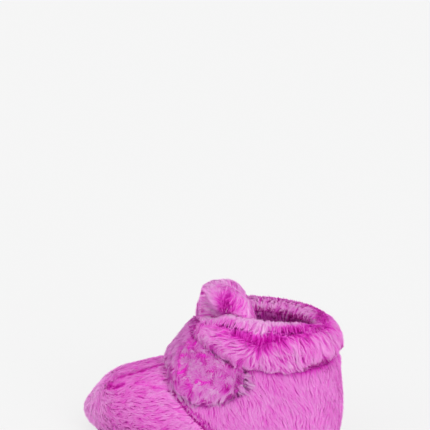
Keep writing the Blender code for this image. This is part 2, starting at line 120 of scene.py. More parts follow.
STRAP_STROKES = (
    ((-14, -12, 53), (-18, -13, 46)), ((-8, -16, 56), (-10, -20, 46)), ((-14, -19, 42), (-16, -23, 37)),
    ((-16, -23, 36), (-7, -27, 29)), ((-1, -27, 36), (-4, -28, 30)), ((7, -28, 36), (1, -29, 31)),
    ((13, -28, 36), (8, -29, 30)), ((19, -28, 38), (20, -28, 30)), ((14, -26, 47), (25, -28, 44)),
    ((17, -27, 42), (26, -28, 38)),
)
STRAP_CLEFTS = (
    (1.0, 1.5, ((-11, -17, 50), (-12.5, -18.5, 45), (-12.1, -20.5, 41))),
    (0.9, 1.0, ((-15.5, -17, 43), (-17, -20, 38))),
    (0.8, 1.1, ((16, -27, 50.5), (21.6, -28.3, 50), (20, -27.2, 45))),
    (0.7, 1.0, ((2, -28.6, 29), (7, -28.8, 28.8), (13, -28, 29.5))),
)


class Locks(NamedTuple):
    """How wisps gather into locks, in millimetres, radians and shares.

    pull draws the wisps together. turn, lift and shade let the locks differ in lay, height and
    shade. edge and drop darken and sink the slits between them, the darkening painted shade, and
    edge also pales the locks' middles as painted light.
    """

    width: float
    length: float
    pull: float
    turn: float
    lift: float
    shade: float
    edge: float
    drop: float


VAMP_LOCKS = Locks(0.90, 3.0, 0.40, 0.12, 0.05, 0.04, 0.10, 0.15)
QUARTER_LOCKS = Locks(0.90, 2.8, 0.35, 0.07, 0.04, 0.025, 0.09, 0.10)
CUFF_LOCKS = Locks(1.0, 3.4, 0.48, 0.14, 0.12, 0.06, 0.40, 0.4)
CUFF_TUFTS = Locks(1.0, 1.4, 0.50, 0.30, 0.12, 0.09, 0.28, 0.3)
TONGUE_LOCKS = Locks(1.0, 4.0, 0.45, 0.12, 0.12, 0.05, 0.28, 0.4)
TONGUE_TUFTS = Locks(1.0, 1.4, 0.50, 0.30, 0.12, 0.10, 0.44, 0.3)
STRAP_HUNG = Locks(1.3, 5.0, 0.48, 0.16, 0.15, 0.07, 0.42, 0.5)
STRAP_TUFTS = Locks(0.9, 2.6, 0.44, 0.24, 0.14, 0.07, 0.24, 0.4)
LINING_LOCKS = Locks(1.4, 4.0, 0.5, 0.2, 0.2, 0.08, 0.26, 0.3)

# Share of a wisp's light that shines through it, and how much darker the strap's pile is.
SHINES_THROUGH = 0.45
STRAP_TONE = 0.88

# The photograph's view, in degrees and metres, and the studio.
CAMERA_AZIMUTH = 15.0
CAMERA_ELEVATION = 18.0
CAMERA_DISTANCE = 2.4
PICTURE_WIDTH = 0.215
LOOK_RIGHT = 0.0005
LOOK_UP = 0.1116
SENSOR = 36.0
LAMP_DISTANCE = 1.5
FLOOR_RADIUS = 12.0
FLOOR_GLOW = 0.733
WORLD_STRENGTH = 1.02


class BootiePile(PropertyGroup):
    """Sizes of the pile."""

    vamp: FloatProperty(name="Vamp", description="Length of the pile on the toe", default=4.6 * MM,
                        unit="LENGTH")
    quarter: FloatProperty(name="Quarters", description="Length of the pile round the heel",
                           default=4.2 * MM, unit="LENGTH")
    cuff: FloatProperty(name="Cuff", description="Length of the pile on the cuff",
                        default=6.8 * MM, unit="LENGTH")
    tongue: FloatProperty(name="Tongue", description="Length of the pile on the tongue",
                          default=7.5 * MM, unit="LENGTH")
    strap: FloatProperty(name="Strap", description="Length of the pile on the strap",
                         default=6.0 * MM, unit="LENGTH")
    lining: FloatProperty(name="Lining", description="Length of the pile inside",
                          default=4.0 * MM, unit="LENGTH")
    wisp: FloatProperty(name="Wisp", description="Width of one wisp of pile", default=0.29 * MM,
                        unit="LENGTH")
    backing: FloatProperty(name="Backing", description="Depth of the backing under the pile",
                           default=2.0 * MM, unit="LENGTH")


class BootieColours(PropertyGroup):
    """Colours of the plush from painted shade in the gaps of the pile to its tips, partly painted light
    and sheen, and of the sole and the floor.
    """

    # Gaps is painted shade deep in the pile; Upper pile and Tips are partly painted light and sheen.
    deep: FloatVectorProperty(name="Gaps", description="Deep between the locks",
                              default=(0.58, 0.0, 0.38), subtype="COLOR")
    body: FloatVectorProperty(name="Body", description="Middle of the pile",
                              default=(0.90, 0.085, 0.75), subtype="COLOR")
    lit: FloatVectorProperty(name="Upper pile", description="Last third of the pile",
                             default=(0.94, 0.37, 0.86), subtype="COLOR")
    pale: FloatVectorProperty(name="Tips", description="Very tips of the pile",
                              default=(0.96, 0.66, 0.92), subtype="COLOR")
    sole: FloatVectorProperty(name="Sole", description="Woven sole", default=(0.50, 0.06, 0.38),
                              subtype="COLOR")
    floor: FloatVectorProperty(name="Floor", description="Studio floor",
                               default=(0.14, 0.14, 0.14), subtype="COLOR")


def mm(points):
    """Points of a table as metres."""
    return np.array(points, float) * MM


def unit(vectors):
    """Rows scaled to length 1."""
    return vectors / np.maximum(np.linalg.norm(vectors, axis=1, keepdims=True), 1e-12)


def dot(a, b):
    """Row by row product of vectors, as a column."""
    return (a * b).sum(axis=1, keepdims=True)


def flat_on(vectors, normals):
    """What is left of vectors along a surface."""
    return vectors - dot(vectors, normals) * normals


def fade(values, start, end):
    """0 up to a start and 1 from an end, eased between. The end may be the lower of the two."""
    t = np.clip((values - start) / (end - start), 0, 1)
    return t * t * (3 - 2 * t)


def hump(distances, reach, power=2):
    """1 at no distance, and down to nothing at about twice a reach."""
    return np.exp(-(distances / reach) ** power)


def turned(vectors, normals, angles):
    """Vectors on a surface, turned about its normals."""
    angles = angles[:, None]
    return vectors * np.cos(angles) + np.cross(normals, vectors) * np.sin(angles)


class Waves:
    """A smooth field that wanders about 0 with a given wavelength."""

    def __init__(self, wavelength, seed):
        count = 10
        rng = np.random.default_rng(seed)
        ways = unit(rng.normal(size=(count, 3)))
        self.ways = ways * (2 * math.pi / wavelength) * rng.uniform(0.7, 1.4, (count, 1))
        self.starts = rng.uniform(0, 2 * math.pi, count)
        self.share = math.sqrt(2 / count)

    def at(self, points):
        """Value at each point."""
        return np.sin(points @ self.ways.T + self.starts).sum(axis=1) * self.share

    def slope(self, points):
        """Direction in which the value rises at each point."""
        return np.cos(points @ self.ways.T + self.starts) @ self.ways * self.share


def off_line(points, line):
    """Vector from the nearest point of a line of points, and the distance to it."""
    best = np.full(len(points), np.inf)
    away = np.zeros_like(points)
    for start, end in zip(line, line[1:]):
        along = end - start
        t = np.clip((points - start) @ along / (along @ along), 0, 1)
        gap = points - start - t[:, None] * along
        distance = np.linalg.norm(gap, axis=1)
        nearer = distance < best
        best[nearer] = distance[nearer]
        away[nearer] = gap[nearer]
    return away, best


class Surface:
    """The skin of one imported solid, with smooth normals."""

    def __init__(self, node):
        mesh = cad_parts[node].data
        mesh.calc_loop_triangles()
        places = np.empty(len(mesh.vertices) * 3)
        mesh.vertices.foreach_get("co", places)
        corners = np.empty(len(mesh.loop_triangles) * 3, int)
        mesh.loop_triangles.foreach_get("vertices", corners)
        keys = np.round(places.reshape(-1, 3) / SAME_POINT).astype(int)
        _, first, merged = np.unique(keys, axis=0, return_index=True, return_inverse=True)
        self.points = places.reshape(-1, 3)[first]
        self.corners = merged.ravel()[corners].reshape(-1, 3)
        a, b, c = (self.points[self.corners[:, i]] for i in range(3))
        cross = np.cross(b - a, c - a)
        self.areas = np.linalg.norm(cross, axis=1) / 2
        normals = np.zeros_like(self.points)
        for i in range(3):
            np.add.at(normals, self.corners[:, i], cross)
        self.normals = unit(normals)
        self.tree = BVHTree.FromPolygons(self.points.tolist(), self.corners.tolist())

    def scatter(self, spacing, rng):
        """Random points on the skin, one for each square of a spacing, with their normals."""
        count = int(self.areas.sum() / spacing ** 2)
        face = rng.choice(len(self.areas), count, p=self.areas / self.areas.sum())
        u = np.sqrt(rng.random(count))
        v = rng.random(count)
        shares = np.stack((1 - u, u * (1 - v), u * v), axis=1)
        corners = self.corners[face]
        points = sum(self.points[corners[:, i]] * shares[:, i:i + 1] for i in range(3))
        normals = sum(self.normals[corners[:, i]] * shares[:, i:i + 1] for i in range(3))
        return points, unit(normals)


@cache
def surface(node):
    """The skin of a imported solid, read once."""
    return Surface(node)


def meets(points, normals, nodes, start, reach):
    """Whether a straight line off the surface meets one of some solids within a reach."""
    trees = [surface(node).tree for node in nodes]
    found = np.zeros(len(points), bool)
    for i, (point, normal) in enumerate(zip(points, normals)):
        place = Vector(point + normal * start)
        way = Vector(normal)
        found[i] = any(tree.ray_cast(place, way, reach)[0] is not None for tree in trees)
    return found


def thickness(points, normals, tree):
    """How far it is from points on a skin straight in to the far side of the solid."""
    hits = (tree.ray_cast(Vector(point - normal * 0.05 * MM), Vector(-normal))[3]
            for point, normal in zip(points, normals))
    return np.array([1.0 if hit is None else hit for hit in hits])


class Turf:
    """Pile on its way from bare roots to combed wisps. Each column holds a row for each root.

    room is how thick the solid is there, flow the lay, top and rise how high tip and foot stand
    over the skin, stand how upright a wisp is, and reach how far it may run. A loose wisp may lie
    over other pieces, a plain one stays out of locks, and pull and aside draw it to its lock.
    """

    COLUMNS = ("roots", "normals", "room", "flow", "length", "top", "rise", "stand", "reach",
               "shade", "loose", "plain", "pull", "aside")

    def __init__(self, roots, normals, room, spacing, length, seed):
        count = len(roots)
        self.rng = np.random.default_rng(seed)
        self.spacing = spacing
        self.roots = roots
        self.normals = normals
        self.room = room
        self.flow = np.zeros_like(roots)
        self.length = np.full(count, float(length))
        self.top = np.full(count, TIP_TOP)
        self.rise = np.zeros(count)
        self.stand = np.zeros(count)
        self.reach = np.full(count, 1.0)
        self.shade = np.full(count, 0.5)
        self.loose = np.zeros(count, bool)
        self.plain = np.zeros(count)
        self.pull = np.zeros_like(roots)
        self.aside = np.zeros_like(roots)

    def keep(self, mask):
        """Drop every root that the mask leaves out."""
        for name in self.COLUMNS:
            setattr(self, name, getattr(self, name)[mask])

    def comb(self, ways, weight=1.0):
        """Lay the pile along some directions, by a weight from 0 to 1 at each root."""
        weight = np.broadcast_to(np.asarray(weight, float), (len(self.roots),))[:, None]
        target = unit(flat_on(np.broadcast_to(ways, self.roots.shape), self.normals))
        self.flow = unit(flat_on(self.flow * (1 - weight) + target * weight, self.normals))

    def brush(self, strokes, reach, weight=1.0):
        """Lay the pile along strokes of a brush, each from a point to a point."""
        ways = np.zeros_like(self.roots)
        total = np.zeros(len(self.roots))
        for stroke in strokes:
            start, end = mm(stroke)
            distance = off_line(self.roots, (start, end))[1]
            near = hump(distance, reach * MM)
            ways += near[:, None] * (end - start) / np.linalg.norm(end - start)
            total += near
        self.comb(ways, weight * np.clip(total, 0, 1))

    def swirl(self, wavelength, angle, seed, weight=1.0):
        """Let the lay wander by up to about an angle."""
        turn = Waves(wavelength, seed).at(self.roots) * angle * weight
        self.flow = turned(self.flow, self.normals, turn)

    def lift(self, height):
        """Raise the whole pile over the skin, as thicker padding would."""
        self.rise += height
        self.top += height

    def sink(self, near, dark=0.45, drop=1.1 * MM):
        """Sink, shorten and darken the pile by a share at each root, the darkening painted shade."""
        # Painted shade where the pile sinks.
        self.shade -= dark * near
        self.top -= drop * near
        self.length *= 1 - 0.35 * near

    def stitch(self, at, depth, reach):
        """Sink the pile along a stitched line, from its distance to the line in millimetres, with
        painted shade in the groove.
        """
        self.sink(depth * hump(at, reach), 0.5)

    def crease(self, line, depth, reach, part=0.5):
        """Sink the pile along a line with painted shade in the crease, and part it on either side."""
        away, distance = off_line(self.roots, mm(line))
        self.sink(depth * hump(distance, reach * MM))
        self.comb(away, np.clip(part * depth * hump(distance, 2.2 * reach * MM, 1), 0, 1))

    def tuck(self, nodes, reach, depth, dark=0.4):
        """Sink the pile where it goes in under another piece, with painted shade there."""
        gap = np.full(len(self.roots), np.inf)
        for node in nodes:
            tree = surface(node).tree
            gap = np.minimum(gap, [tree.find_nearest(place)[3] for place in self.roots.tolist()])
        self.sink(depth * hump(gap, reach), dark)

    def gather(self, locks, more_slit_shade=0.0):
        """Gather the wisps into long locks that differ in lay, height and shade, with painted shade in
        the slits between them and painted light along their middles.
        """
        width = locks.width * MM
        length = locks.length * MM
        nearest = 12
        area = len(self.roots) * self.spacing ** 2
        count = max(nearest, int(area / (width * length)))
        chosen = self.rng.choice(len(self.roots), count, replace=False)
        tree = KDTree(count)
        for i, place in enumerate(self.roots[chosen]):
            tree.insert(place, i)
        tree.balance()
        near = np.array([[found[1] for found in tree.find_n(place, nearest)]
                         for place in self.roots])
        gaps = self.roots[:, None] - self.roots[chosen][near]
        ways = self.flow[chosen][near]
        along = (gaps * ways).sum(axis=2)
        across = gaps - along[:, :, None] * ways
        far = (np.linalg.norm(across, axis=2) / width) ** 2 + (along / length) ** 2
        best = far.argmin(axis=1)
        rows = np.arange(len(self.roots))
        owner = near[rows, best]
        aside = across[rows, best] / (width / 2)
        slit = fade(np.linalg.norm(aside, axis=1), 0.5, 1.0)
        turn, lift, shade = self.rng.normal(size=(3, count))[:, owner]
        locked = 1 - self.plain
        self.flow = turned(self.flow, self.normals, turn * locks.turn * locked)
        self.pull -= aside * (width / 2 * locks.pull * locked)[:, None]
        self.aside += aside * (locks.pull * locked)[:, None]
        self.top += (lift * (locks.lift * MM) - slit * (locks.drop * MM)) * locked
        # Each lock's tone differs at random; the slits get painted shade and the middles painted light.
        self.shade += (shade * locks.shade + (locks.edge + more_slit_shade) * (0.35 - slit)) * locked

    def wisps(self, name, width, depth, skins, others=(), fuzz=FUZZ):
        """The pile as one mesh of curved ribbons, laid over its skins, and if loose over others."""
        count = len(self.roots)
        rng = self.rng
        flow = turned(self.flow, self.normals, rng.normal(size=count) * FRAY)
        sideways = np.cross(flow, self.normals)
        length = self.length * np.exp(rng.normal(size=count) * LENGTH_SPREAD)
        stray = rng.random(count) < STRAYS
        top = self.top + rng.normal(size=count) * fuzz + stray * STRAY_TOP
        top = np.maximum(top, -TIP_LOWEST * depth)
        foot = self.rise - np.minimum(depth, FOOT_ROOM * self.room)
        run = np.sqrt(np.maximum(length ** 2 - (top - foot) ** 2, (0.2 * length) ** 2))
        run = np.minimum(run * (1 - 0.8 * self.stand), self.reach / FORWARD)[:, None]
        base = self.roots + self.normals * foot[:, None] - flow * ((1 - FORWARD) * run)
        middle = self.roots + flow * (FORWARD - 0.5) * run + MIDDLE_PULL * self.pull
        tip = self.roots + flow * (FORWARD * run) + self.pull
        trees = [[surface(node).tree for node in nodes] for nodes in (skins, skins + others)]
        trees = [trees[loose] for loose in self.loose.astype(int)]
        half_up = MIDDLE_UP * top + (1 - MIDDLE_UP) * foot
        middle, middle_out = settle(middle, half_up, trees, self.normals)
        tip, tip_out = settle(tip, top, trees, self.normals)
        roll = np.clip(rng.normal(size=count) * 0.45, -1.0, 1.0)
        across = sideways * np.cos(roll)[:, None] + self.normals * np.sin(roll)[:, None]
        half = (width / 2 * rng.uniform(0.75, 1.3, count))[:, None]
        rows = (base - across * half * 0.8, base + across * half * 0.8, middle - across * half,
                middle + across * half, tip)
        points = np.stack(rows, axis=1).reshape(-1, 3)
        points[:, 2] = np.maximum(points[:, 2], FLOOR_GAP)
        own = unit(np.cross(across, unit(tip - base)))
        lean = 0.35 * own + 0.45 * self.aside
        outs = (self.normals, self.normals, middle_out, middle_out, tip_out)
        facing = np.stack([unit(out + lean) for out in outs], axis=1).reshape(-1, 3)
        shade = np.clip(self.shade + rng.normal(size=count) * SHADE_SPREAD, 0.02, 0.97)
        return ribbon_mesh(name, points, facing, shade)


def settle(points, heights, trees, upright):
    """Points moved to their heights over the nearest of their skins, and the way out of it there.

    At a thin edge the skins of both sides are as near, so the way out keeps to the root's side.
    """
    spots = np.empty_like(points)
    normals = np.empty_like(points)
    for i, place in enumerate(points.tolist()):
        found = min((tree.find_nearest(place) for tree in trees[i]), key=lambda hit: hit[3])
        spots[i] = found[0]
        normals[i] = found[1]
    away = points - spots
    gap = np.linalg.norm(away, axis=1, keepdims=True)
    side = np.where(dot(away, normals) < -0.5 * gap, -1.0, 1.0)
    normals = np.where(dot(normals, upright) < -0.3, upright, normals)
    out = np.where(gap > 0.05 * MM, away / np.maximum(gap, 1e-9) * side, normals)
    return spots + out * heights[:, None], out


def ribbon_mesh(name, points, facing, shade):
    """A mesh of ribbons, each of a four-sided face and a pointed one, with their shades as a map."""
    count = len(shade)
    first = np.arange(count)[:, None] * 5
    loops = (first + np.array([0, 1, 3, 2, 2, 3, 4])).ravel()
    starts = (np.arange(count)[:, None] * 7 + np.array([0, 4])).ravel()
    mesh = bpy.data.meshes.new(name)
    mesh.vertices.add(count * 5)
    mesh.vertices.foreach_set("co", points.astype(np.float32).ravel())
    mesh.loops.add(count * 7)
    mesh.loops.foreach_set("vertex_index", loops.astype(np.int32))
    mesh.polygons.add(count * 2)
    mesh.polygons.foreach_set("loop_start", starts.astype(np.int32))
    along = np.array([0.03, 0.03, 0.5, 0.5, 0.5, 0.5, 0.97])
    aside = np.array([0.0, 0.016, 0.016, 0.0, 0.0, 0.016, 0.008])
    places = np.empty((count, 7, 2), np.float32)
    places[:, :, 0] = along
    places[:, :, 1] = shade[:, None] + aside
    mesh.update(calc_edges=True)
    layer = mesh.uv_layers.new(name="OFBake")
    layer.uv.foreach_set("vector", places.ravel())
    mesh.shade_smooth()
    mesh.normals_split_custom_set_from_vertices(facing.tolist())
    piece = bpy.data.objects.new(name, mesh)
    bpy.context.scene.collection.objects.link(piece)
    return piece


class Wire:
    """A number on its way through a material. Sums, differences and products add Math nodes."""

    def __init__(self, paint, socket):
        self.paint = paint
        self.socket = socket

    def math(self, operation, a, b):
        """A Math node of two values."""
        return self.paint.node("ShaderNodeMath", {"operation": operation}, {0: a, 1: b})

    def beside(self, output):
        """Another output of the node that this wire comes from."""
        return Wire(self.paint, self.socket.node.outputs[output])

    def __add__(self, other):
        return self.math("ADD", self, other)

    def __radd__(self, other):
        return self.math("ADD", other, self)

    def __sub__(self, other):
        return self.math("SUBTRACT", self, other)

    def __rsub__(self, other):
        return self.math("SUBTRACT", other, self)

    def __mul__(self, other):
        return self.math("MULTIPLY", self, other)

    def __rmul__(self, other):
        return self.math("MULTIPLY", other, self)


class Paint:
    """The nodes of one material."""

    def __init__(self, name):
        self.material = bpy.data.materials.new(name)
        self.material.use_nodes = True
        self.tree = self.material.node_tree
        self.shader = self.tree.nodes["Principled BSDF"]

    def node(self, kind, settings=None, values=None, output=0):
        """A node of a kind, its settings made first, then its sockets set or linked."""
        made = self.tree.nodes.new(kind)
        for name, value in (settings or {}).items():
            if name == "stops":
                self.set_stops(made.color_ramp, value)
            else:
                setattr(made, name, value)
        for name, value in (values or {}).items():
            self.feed(made.inputs[name], value)
        return Wire(self, made.outputs[output])

    def set_stops(self, ramp, stops):
        """Place the stops of a colour ramp."""
        while len(ramp.elements) < len(stops):
            ramp.elements.new(0.5)
        for element, (place, colour) in zip(ramp.elements, stops):
            element.position = place
            element.color = (*colour, 1)

    def feed(self, socket, value):
        """Link a wire to a socket, or set the socket."""
        if isinstance(value, Wire):
            self.tree.links.new(value.socket, socket)
        else:
            socket.default_value = value

    def mix(self, factor, a, b):
        """A blend of two colours."""
        return self.node("ShaderNodeMix", {"data_type": "RGBA"}, {0: factor, 6: a, 7: b}, output=2)

    def surface(self, **sockets):
        """Set or link sockets of the shader by their names, spaces written as underscores."""
        for name, value in sockets.items():
            self.feed(self.shader.inputs[name.replace("_", " ")], value)
        return self.material


def rgba(colour, scale=1.0):
    """A colour with its alpha."""
    return (*(channel * scale for channel in colour), 1)


def pile_material(name, tone=1.0):
    """Plush pile: saturated and deep at the root as painted shade, pale at the tip partly as painted
    sheen, by the ribbon's own map.
    """
    colours = bpy.context.scene.bootie_colours
    paint = Paint(name)
    place = paint.node("ShaderNodeUVMap", {"uv_map": "OFBake"})
    along = paint.node("ShaderNodeSeparateXYZ", values={0: place})
    shade = along.beside("Y")
    # Further along a wisp, and on a lighter one, the colour is paler: painted shade deep at the roots
    # and in the gaps, and partly painted sheen at the tips.
    tone_at = along * 0.42 + shade * 0.95 - 0.16
    stops = ((0.0, colours.deep), (0.34, colours.body), (0.66, colours.lit), (1.0, colours.pale))
    stops = [(at, [channel * tone for channel in colour]) for at, colour in stops]
    colour = paint.node("ShaderNodeValToRGB", {"stops": stops}, {0: tone_at})
    material = paint.surface(Base_Color=colour, Roughness=0.75, Sheen_Weight=0.06,
                             Sheen_Roughness=0.4, Sheen_Tint=rgba(colours.lit),
                             Specular_IOR_Level=0.0)
    # The light shining through follows the same painted shade and sheen, from the body colour to the
    # tips' colour.
    low, high = (paint.node("ShaderNodeBsdfTranslucent", values={"Color": rgba(shine, tone)})
                 for shine in (colours.body, colours.pale))
    glow = paint.node("ShaderNodeMixShader", values={0: tone_at * tone_at, 1: low, 2: high})
    shader = Wire(paint, paint.shader.outputs[0])
    both = paint.node("ShaderNodeMixShader", values={0: SHINES_THROUGH, 1: shader, 2: glow})
    paint.feed(paint.tree.nodes["Material Output"].inputs["Surface"], both)
    return material


def backing_material(name):
    """Knitted ground of the plush, seen only deep between the locks, its dark colour painted shade."""
    colours = bpy.context.scene.bootie_colours
    paint = Paint(name)
    place = paint.node("ShaderNodeTexCoord", output="Object")
    speck = paint.node("ShaderNodeTexNoise", values={"Vector": place, "Scale": 900.0,
                                                     "Detail": 3.0})
    # Painted shade: the ground is coloured between the gap colour and a darkened copy of the body
    # colour.
    colour = paint.mix(speck * 0.8, rgba(colours.deep), rgba(colours.body, 0.7))
    bump = paint.node("ShaderNodeBump", values={"Height": speck, "Strength": 0.6,
                                                "Distance": 0.3 * MM})
    return paint.surface(Base_Color=colour, Normal=bump, Roughness=0.9, Specular_IOR_Level=0.02)


def sole_material(name):
    """Brushed woven sole: fine crossing threads with a little nap."""
    colours = bpy.context.scene.bootie_colours
    paint = Paint(name)
    place = paint.node("ShaderNodeTexCoord", output="Object")
    threads = []
    for across in ("X", "Y"):
        values = {"Vector": place, "Scale": 260.0, "Distortion": 1.2, "Detail": 1.0}
        wave = paint.node("ShaderNodeTexWave", {"bands_direction": across}, values, output="Fac")
        threads.append(wave)
    weave = threads[0] * threads[1]
    nap = paint.node("ShaderNodeTexNoise", values={"Vector": place, "Scale": 1400.0,
                                                   "Detail": 4.0})
    worn = paint.node("ShaderNodeTexNoise", values={"Vector": place, "Scale": 60.0})
    tone = weave * 0.45 + nap * 0.35 + worn * 0.2
    colour = paint.mix(tone, rgba(colours.sole, 0.55), rgba(colours.sole, 1.5))
    bump = paint.node("ShaderNodeBump", values={"Height": weave + nap * 0.5, "Strength": 0.5,
                                                "Distance": 0.35 * MM})
    return paint.surface(Base_Color=colour, Normal=bump, Roughness=0.88, Sheen_Weight=0.2,
                         Specular_IOR_Level=0.2)


def select_only(piece):
    """Make a piece the only one selected, and active."""
    bpy.ops.object.select_all(action="DESELECT")
    bpy.context.view_layer.objects.active = piece
    piece.select_set(True)


def soft_copy(name, node, inset, material):
    """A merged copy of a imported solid, shrunk all over by an inset and rounded."""
    piece = bpy.data.objects.new(name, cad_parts[node].data.copy())
    bpy.context.scene.collection.objects.link(piece)
    piece.data.materials.clear()
    piece.data.materials.append(material)
    select_only(piece)
    bpy.ops.object.mode_set(mode="EDIT")
    bpy.ops.mesh.select_all(action="SELECT")
    bpy.ops.mesh.remove_doubles(threshold=SAME_POINT)
    bpy.ops.mesh.normals_make_consistent(inside=False)
    bpy.ops.transform.shrink_fatten(value=-inset)
    bpy.ops.object.mode_set(mode="OBJECT")
    rounded = piece.modifiers.new("rounded", "SUBSURF")
    rounded.levels = 1
    rounded.render_levels = 1
    bpy.ops.object.modifier_apply(modifier=rounded.name)
    bpy.ops.object.shade_smooth()
    return piece


def place_piece(piece, slot, *nodes):
    """Let a piece ride on the shoe, and hide the solids it stands for. The slot for its finish is not
    used.
    """
    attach(piece, "root")
    if nodes:
        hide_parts(*nodes)
    return piece


def bare_turf(node, spacing, length, seed, covers=()):
    """Roots on the bare stretches of a solid, away from what lies close over it."""
    rng = np.random.default_rng(seed)
    roots, normals = surface(node).scatter(spacing, rng)
    room = thickness(roots, normals, surface(node).tree)
    turf = Turf(roots, normals, room, spacing, length, seed + 1)
    if covers:
        turf.keep(~meets(roots, normals, covers, 0.1 * MM, COVERED))
    return turf


def behind_seam(points):
    """Distance behind the side seam's line, in millimetres."""
    return (points / MM - np.array(THROAT)) @ np.array(SEAM_LEAN)


def outer_upper(spacing, length, seed):
    """Roots on the outside of the upper, clear of cuff, strap and tongue."""
    turf = bare_turf("upper", spacing, length, seed, ("cuff", "strap", "tongue"))
    inside = meets(turf.roots, turf.normals, ("upper", "insole", "outsole"), 0.5 * MM, ACROSS_SHOE)
    underneath = turf.normals[:, 2] <= -0.75
    turf.keep(~inside & ~underneath)
    return turf


def grow_vamp(pile):
    """Pile of the toe: combed back to the side seam, and parted along the middle."""
    turf = outer_upper(0.36 * MM, pile.vamp, 11)
    turf.keep(behind_seam(turf.roots) < SEAM_AT)
    x, _, z = (turf.roots / MM).T
    at = behind_seam(turf.roots)
    turf.comb((1.0, 0.0, 0.12))
    turf.comb((0.85, 0.0, 0.5), 0.7 * hump(at, 9) * fade(z, 30, 22))
    turf.swirl(16 * MM, 0.14, 12)
    turf.swirl(4 * MM, 0.20, 13)
    # Creases and the stitched side seam sink the pile, with painted shade in them.
    for depth, reach, line in VAMP_CREASES:
        turf.crease(line, depth, reach, part=0.25)
    turf.stitch(at, 1.0, 0.8)
    # A wisp runs no further than the side seam.
    forward = np.maximum(turf.flow @ np.array(SEAM_LEAN), 0.15)
    turf.reach = np.maximum(SEAM_AT - at, 0.2) * MM / forward
    # Painted shadow where the toe goes in under the strap.
    turf.tuck(("strap",), 1.0 * MM, 0.5)
    # The toe's tip is fuller and paler, the paleness painted sheen, and its pile falls to the floor.
    toe = fade(x, -45, -62)
    turf.comb((-0.3, 0.0, -1.0), 0.8 * toe)
    turf.lift(1.8 * MM * toe * fade(z, 22, 14))
    turf.top -= 0.8 * MM * fade(z, 28, 33)
    turf.plain = 0.7 * toe
    # Painted sheen on the toe's tip, and painted shade darkening the top of the vamp.
    turf.shade += 0.22 * toe + 0.06 * fade(at, -16, -4) - 0.02 * fade(z, 28, 36)
    turf.shade += 0.04 * Waves(7 * MM, 14).at(turf.roots)
    turf.gather(VAMP_LOCKS)
    return turf.wisps("vamp_pile", pile.wisp, pile.backing, ("upper", "outsole"))


def grow_quarters(pile):
    """Short even pile round the heel, combed down and a little back."""
    turf = outer_upper(0.38 * MM, pile.quarter, 21)
    turf.keep(behind_seam(turf.roots) >= SEAM_AT)
    x, y, z = (turf.roots / MM).T
    back = 0.05 + 0.50 * fade(x, -5, 35) * fade(x, 60, 40)
    turf.comb(np.stack((back, np.zeros_like(x), -np.ones_like(x)), axis=1))
    turf.swirl(18 * MM, 0.18, 22)
    turf.swirl(5 * MM, 0.10, 23)
    # The tape of the side seam has shorter and rougher pile between its two stitched lines.
    at = behind_seam(turf.roots)
    on_tape = fade(at, SEAM_TAPE + 1, SEAM_TAPE - 1)
    turf.length *= 1 - 0.45 * on_tape
    turf.swirl(3 * MM, 0.5, 25, on_tape)
    turf.shade += on_tape * (0.16 * Waves(3 * MM, 26).at(turf.roots) - 0.06)
    # The stitched lines sink the pile, with painted shade in their grooves.
    turf.stitch(at, 1.0, 1.0)
    turf.stitch(at - SEAM_TAPE, 0.75, 0.8)
    beside_back_seam = np.where(x > 45, np.abs(y) - BACK_SEAM_HALF, 99)
    turf.stitch(beside_back_seam, 0.6, 0.7)
    turf.top += 0.8 * MM * fade(x, 56, 61) * fade(z, 42, 47)
    # Painted shadow under the cuff's lip and along the strap.
    turf.tuck(("cuff",), 1.7 * MM, 0.9, 0.5)
    turf.tuck(("strap",), 0.7 * MM, 0.3)
    turf.shade += 0.03 + 0.02 * Waves(12 * MM, 24).at(turf.roots)
    turf.gather(QUARTER_LOCKS)
    return turf.wisps("quarter_pile", pile.wisp, pile.backing, ("upper", "outsole"),
                      fuzz=0.15 * MM)


